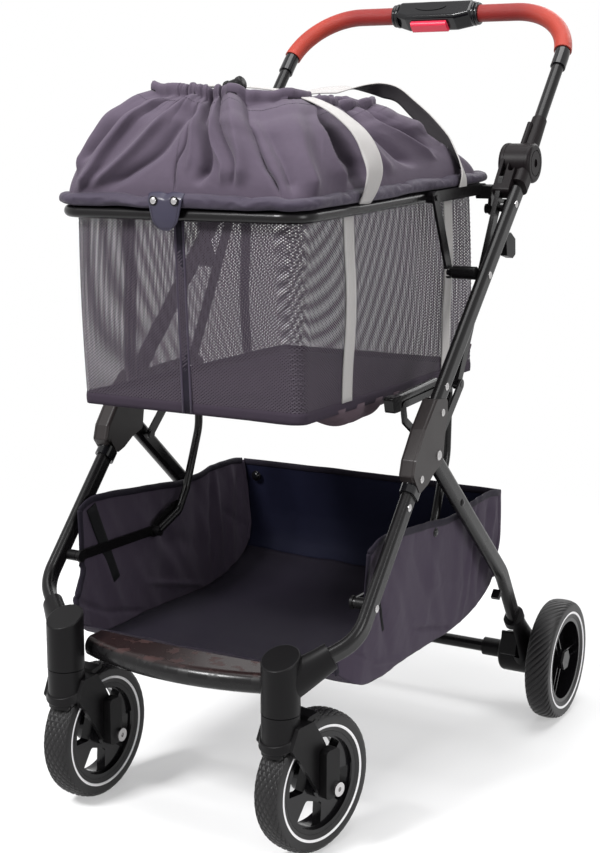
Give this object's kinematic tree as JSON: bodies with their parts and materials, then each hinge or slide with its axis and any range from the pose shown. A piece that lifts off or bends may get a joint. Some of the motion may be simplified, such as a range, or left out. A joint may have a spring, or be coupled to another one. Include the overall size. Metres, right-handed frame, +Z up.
{
  "type": "baby stroller",
  "caption": "Folding stroller with swivelling front casters, braked rear wheels, a lift-out mesh basket with gathered cover, a fabric tub below and a folding push handle.",
  "frame": {"origin": "middle of the overall footprint on the ground", "axes": "+Z up, +Y towards the rear axle and the handle, +X to the right seen from behind"},
  "size_m": [0.612, 0.838, 1.0977],
  "materials": {
    "bracket_brown": "dark bronze, satin",
    "button_red": "satin",
    "fabric_grey": "woven",
    "frame_black": "black, satin",
    "gloss_black": "polished",
    "housing_black": "moulded, faint grain",
    "hub_dark": "soft satin",
    "leather": "stitched",
    "mesh": "hexagonal net",
    "rim_black": "polished",
    "rim_grey": "satin",
    "steel": "bright",
    "tyre": "matte",
    "webbing": "ribbed"
  },
  "bodies": {
    "chassis": {"front_housing_right": "housing_black", "front_housing_left": "housing_black", "leg_tubes": "frame_black", "leg_collars": "gloss_black", "footboard": "housing_black", "side_brackets": "bracket_brown", "frame_rivets": "steel", "push_tubes": "frame_black", "hub_bases": "hub_dark", "storage_hook": "housing_black", "ring_lugs": "frame_black", "base_bars": "frame_black", "brace_pegs": "housing_black", "lower_basket": "fabric_grey"},
    "rear_frame": {"rear_leg_right": "frame_black", "rear_leg_left": "frame_black", "rear_housing_right": "housing_black", "rear_housing_left": "housing_black", "rear_axle_tube": "frame_black", "axle_sleeves": "housing_black"},
    "ring": {"basket_ring": "frame_black", "ring_arms": "frame_black"},
    "basket": {"basket_shell": "mesh", "basket_rim": "fabric_grey", "basket_floor_pad": "fabric_grey", "basket_cover": "fabric_grey", "basket_straps": "webbing"},
    "handle": {"handle_tube": "frame_black", "handle_sockets": "hub_dark", "grip_sleeves": "gloss_black", "handle_grips": "leather", "handle_housing": "gloss_black"},
    "button": {"release_button": "button_red"},
    "pull_rail_right": {"pull_rail_right": "frame_black"},
    "fold_link_right": {"fold_link_right": "frame_black"},
    "lower_bar_right": {"lower_bar_right": "frame_black"},
    "side_tube_right": {"side_tube_right": "frame_black"},
    "ring_prop_right": {"ring_prop_right": "frame_black"},
    "caster_right": {"caster_fork_right": "housing_black", "front_axle_right": "steel"},
    "front_wheel_right": {"front_tyre_right": "tyre", "front_rim_right": "rim_black"},
    "rear_wheel_right": {"rear_tyre_right": "tyre", "rear_rim_right": "rim_black", "rear_hub_cap_right": "rim_grey"},
    "pedal_right": {"brake_pedal_right": "housing_black"},
    "pull_rail_left": {"pull_rail_left": "frame_black"},
    "fold_link_left": {"fold_link_left": "frame_black"},
    "lower_bar_left": {"lower_bar_left": "frame_black"},
    "side_tube_left": {"side_tube_left": "frame_black"},
    "ring_prop_left": {"ring_prop_left": "frame_black"},
    "caster_left": {"caster_fork_left": "housing_black", "front_axle_left": "steel"},
    "front_wheel_left": {"front_tyre_left": "tyre", "front_rim_left": "rim_black"},
    "rear_wheel_left": {"rear_tyre_left": "tyre", "rear_rim_left": "rim_black", "rear_hub_cap_left": "rim_grey"},
    "pedal_left": {"brake_pedal_left": "housing_black"}
  },
  "joints": [
    {"name": "frame_fold", "type": "hinge", "parent": "chassis", "child": "rear_frame", "pos_m": [0, -0.12456, 0.479], "axis": [1, 0, 0], "range_deg": [-52, 0]},
    {"name": "rail_slide_right", "type": "slide", "parent": "chassis", "child": "pull_rail_right", "axis": [0, -0.4704, -0.8825], "range_m": [0, 0.0312]},
    {"name": "fold_link_right", "type": "hinge", "parent": "pull_rail_right", "child": "fold_link_right", "pos_m": [0.2235, 0.00544, 0.552], "axis": [1, 0, 0], "range_deg": [-8.3, 0]},
    {"name": "lower_bar_right", "type": "hinge", "parent": "chassis", "child": "lower_bar_right", "pos_m": [0.214, -0.28656, 0.318], "axis": [1, 0, 0], "range_deg": [-10.8, 0]},
    {"name": "side_tube_right", "type": "hinge", "parent": "lower_bar_right", "child": "side_tube_right", "pos_m": [0.208, -0.10856, 0.314], "axis": [1, 0, 0], "range_deg": [0, 13.4]},
    {"name": "rail_slide_left", "type": "slide", "parent": "chassis", "child": "pull_rail_left", "axis": [0, -0.4704, -0.8825], "range_m": [0, 0.0312]},
    {"name": "fold_link_left", "type": "hinge", "parent": "pull_rail_left", "child": "fold_link_left", "pos_m": [-0.2235, 0.00544, 0.552], "axis": [1, 0, 0], "range_deg": [-8.3, 0]},
    {"name": "lower_bar_left", "type": "hinge", "parent": "chassis", "child": "lower_bar_left", "pos_m": [-0.214, -0.28656, 0.318], "axis": [1, 0, 0], "range_deg": [-10.8, 0]},
    {"name": "side_tube_left", "type": "hinge", "parent": "lower_bar_left", "child": "side_tube_left", "pos_m": [-0.208, -0.10856, 0.314], "axis": [1, 0, 0], "range_deg": [0, 13.4]},
    {"name": "ring_fold", "type": "hinge", "parent": "chassis", "child": "ring", "pos_m": [0, 0.15044, 0.785], "axis": [1, 0, 0], "range_deg": [0, 43.2]},
    {"name": "ring_prop_right", "type": "hinge", "parent": "ring", "child": "ring_prop_right", "pos_m": [0.193, -0.02356, 0.806], "axis": [1, 0, 0], "range_deg": [0, 112]},
    {"name": "ring_prop_left", "type": "hinge", "parent": "ring", "child": "ring_prop_left", "pos_m": [-0.193, -0.02356, 0.806], "axis": [1, 0, 0], "range_deg": [0, 112]},
    {"name": "basket_lift", "type": "slide", "parent": "ring", "child": "basket", "axis": [0, -0.0607, 0.9982], "range_m": [0, 0.25]},
    {"name": "handle_fold", "type": "hinge", "parent": "chassis", "child": "handle", "pos_m": [0, 0.19444, 0.849], "axis": [-1, 0, 0], "range_deg": [-120, 0], "deforming": ["basket_cover", "basket_straps"]},
    {"name": "button_press", "type": "slide", "parent": "handle", "child": "button", "axis": [0, 0.6665, 0.7455], "range_m": [0, 0.006], "stiffness_N_per_m": 300},
    {"name": "caster_swivel_right", "type": "hinge", "parent": "chassis", "child": "caster_right", "pos_m": [0.1634, -0.38556, 0.2], "axis": [0, 0, 1], "continuous": true},
    {"name": "front_wheel_spin_right", "type": "hinge", "parent": "caster_right", "child": "front_wheel_right", "pos_m": [0.17576, -0.32838, 0.092], "axis": [0.9774, -0.2113, 0], "continuous": true},
    {"name": "caster_swivel_left", "type": "hinge", "parent": "chassis", "child": "caster_left", "pos_m": [-0.1634, -0.38556, 0.2], "axis": [0, 0, 1], "continuous": true},
    {"name": "front_wheel_spin_left", "type": "hinge", "parent": "caster_left", "child": "front_wheel_left", "pos_m": [-0.16177, -0.32708, 0.092], "axis": [0.9996, -0.0279, 0], "continuous": true},
    {"name": "rear_wheel_spin_right", "type": "hinge", "parent": "rear_frame", "child": "rear_wheel_right", "pos_m": [0.287, 0.25504, 0.092], "axis": [1, 0, 0], "continuous": true},
    {"name": "rear_wheel_spin_left", "type": "hinge", "parent": "rear_frame", "child": "rear_wheel_left", "pos_m": [-0.287, 0.25504, 0.092], "axis": [1, 0, 0], "continuous": true},
    {"name": "brake_pedal_right", "type": "hinge", "parent": "rear_frame", "child": "pedal_right", "pos_m": [0.2275, 0.23044, 0.116], "axis": [1, 0, 0], "range_deg": [0, 12]},
    {"name": "brake_pedal_left", "type": "hinge", "parent": "rear_frame", "child": "pedal_left", "pos_m": [-0.2275, 0.23044, 0.116], "axis": [1, 0, 0], "range_deg": [0, 12]}
  ],
  "couplings": [
    {"joint": "rail_slide_right", "follows": "frame_fold", "m_per_rad": -0.03416},
    {"joint": "fold_link_right", "follows": "frame_fold", "ratio": 0.156},
    {"joint": "lower_bar_right", "follows": "frame_fold", "ratio": 0.202},
    {"joint": "side_tube_right", "follows": "frame_fold", "ratio": -0.252},
    {"joint": "rail_slide_left", "follows": "frame_fold", "m_per_rad": -0.03416},
    {"joint": "fold_link_left", "follows": "frame_fold", "ratio": 0.156},
    {"joint": "lower_bar_left", "follows": "frame_fold", "ratio": 0.202},
    {"joint": "side_tube_left", "follows": "frame_fold", "ratio": -0.252},
    {"joint": "ring_fold", "follows": "frame_fold", "ratio": -0.827},
    {"joint": "ring_prop_right", "follows": "frame_fold", "ratio": -2.15},
    {"joint": "ring_prop_left", "follows": "frame_fold", "ratio": -2.15},
    {"joint": "brake_pedal_left", "follows": "brake_pedal_right", "ratio": 1}
  ]
}
